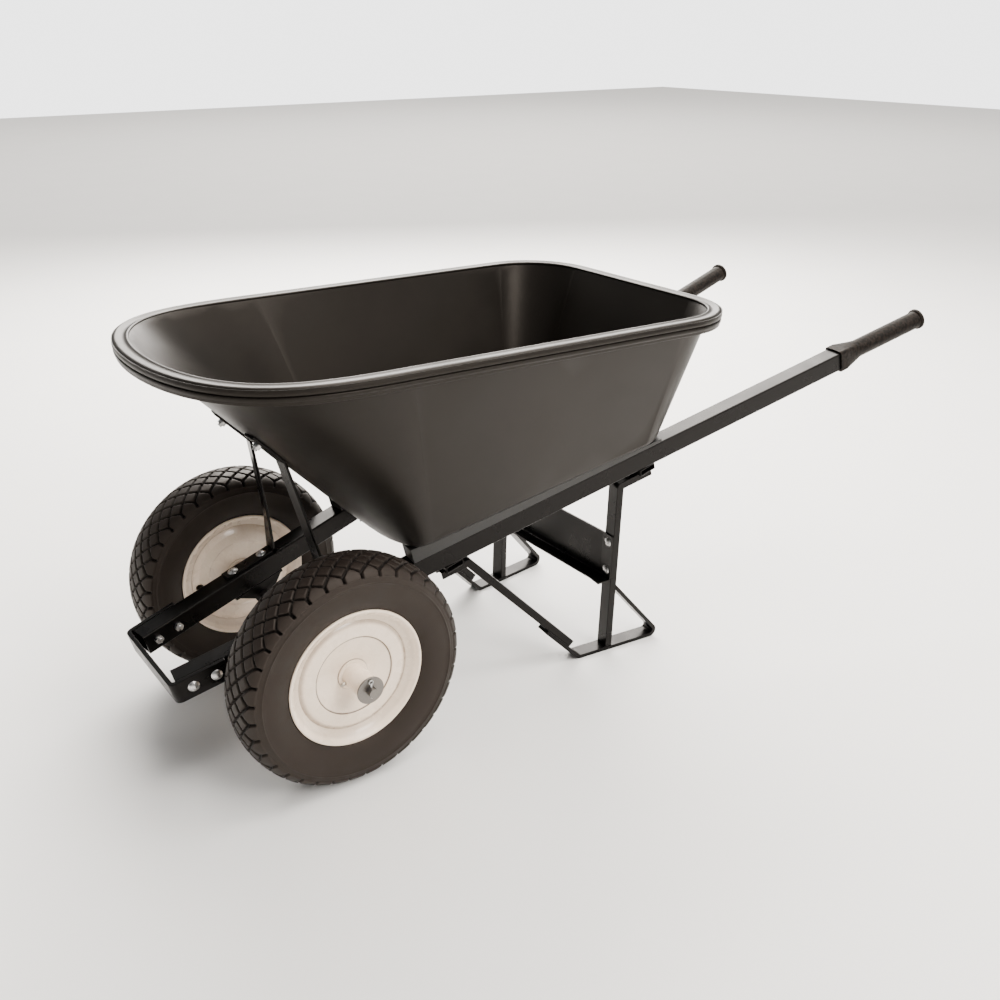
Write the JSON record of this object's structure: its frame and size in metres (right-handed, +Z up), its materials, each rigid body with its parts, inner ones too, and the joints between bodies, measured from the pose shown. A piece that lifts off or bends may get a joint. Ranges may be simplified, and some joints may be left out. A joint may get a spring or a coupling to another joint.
{
  "type": "wheelbarrow",
  "caption": "Two-wheel wheelbarrow with a moulded tray on a bolted square-tube frame, looped feet, rubber grips and freely turning wheels on one fixed axle.",
  "frame": {"origin": "middle of the footprint's bounding box, on the ground", "axes": "+Z up, -Y towards the nose, +Y towards the handles, and +X completes the frame; the axle runs along X"},
  "size_m": [0.629, 1.6508, 0.7163],
  "materials": {
    "tray_plastic": "moulded polyethylene, fine grain, semi-matt",
    "tyre_rubber": "moulded rubber, matt",
    "grip_rubber": "moulded rubber, satin",
    "riser_plastic": "moulded, matt",
    "wheel_enamel": "cream-white enamel, gloss",
    "bush_nylon": "moulded nylon",
    "nipple_steel": "plated",
    "zinc_steel": "bright zinc plate",
    "axle_steel": "bright drawn bar",
    "frame_powder_coat": "black powder coat, semi-gloss"
  },
  "bodies": {
    "frame": {"axle": "axle_steel", "axle_bracket_left": "frame_powder_coat", "axle_bracket_right": "frame_powder_coat", "axle_spacers": "axle_steel", "axle_washers": "axle_steel", "bracket_bolts": "zinc_steel", "bracket_nuts": "zinc_steel", "cross_strap_front": "frame_powder_coat", "cross_strap_rear": "frame_powder_coat", "deck_bolts": "zinc_steel", "deck_nuts": "zinc_steel", "foot_loop_left": "frame_powder_coat", "foot_loop_right": "frame_powder_coat", "grip_left": "grip_rubber", "grip_right": "grip_rubber", "leg_brace_left": "frame_powder_coat", "leg_brace_right": "frame_powder_coat", "leg_cross_plate": "frame_powder_coat", "leg_post_left": "frame_powder_coat", "leg_post_right": "frame_powder_coat", "nose_bar": "frame_powder_coat", "nose_bolts": "zinc_steel", "nose_nuts": "zinc_steel", "plate_bolts": "zinc_steel", "plate_nuts": "zinc_steel", "rail_left": "frame_powder_coat", "rail_right": "frame_powder_coat", "riser_left": "riser_plastic", "riser_right": "riser_plastic", "split_pins": "zinc_steel", "tray": "tray_plastic", "tray_brace_bolts": "zinc_steel", "tray_brace_left": "frame_powder_coat", "tray_brace_nuts": "zinc_steel", "tray_brace_right": "frame_powder_coat"},
    "wheel_right": {"bushes_right": "bush_nylon", "disc_inner_right": "wheel_enamel", "disc_outer_right": "wheel_enamel", "grease_nipple_right": "nipple_steel", "hub_right": "wheel_enamel", "rim_right": "wheel_enamel", "tyre_right": "tyre_rubber"},
    "wheel_left": {"bushes_left": "bush_nylon", "disc_inner_left": "wheel_enamel", "disc_outer_left": "wheel_enamel", "grease_nipple_left": "nipple_steel", "hub_left": "wheel_enamel", "rim_left": "wheel_enamel", "tyre_left": "tyre_rubber"}
  },
  "joints": [
    {"name": "wheel_right_spin", "type": "hinge", "parent": "frame", "child": "wheel_right", "pos_m": [0.222, -0.56802, 0.203], "axis": [1, 0, 0], "continuous": true},
    {"name": "wheel_left_spin", "type": "hinge", "parent": "frame", "child": "wheel_left", "pos_m": [-0.222, -0.56802, 0.203], "axis": [1, 0, 0], "continuous": true}
  ]
}
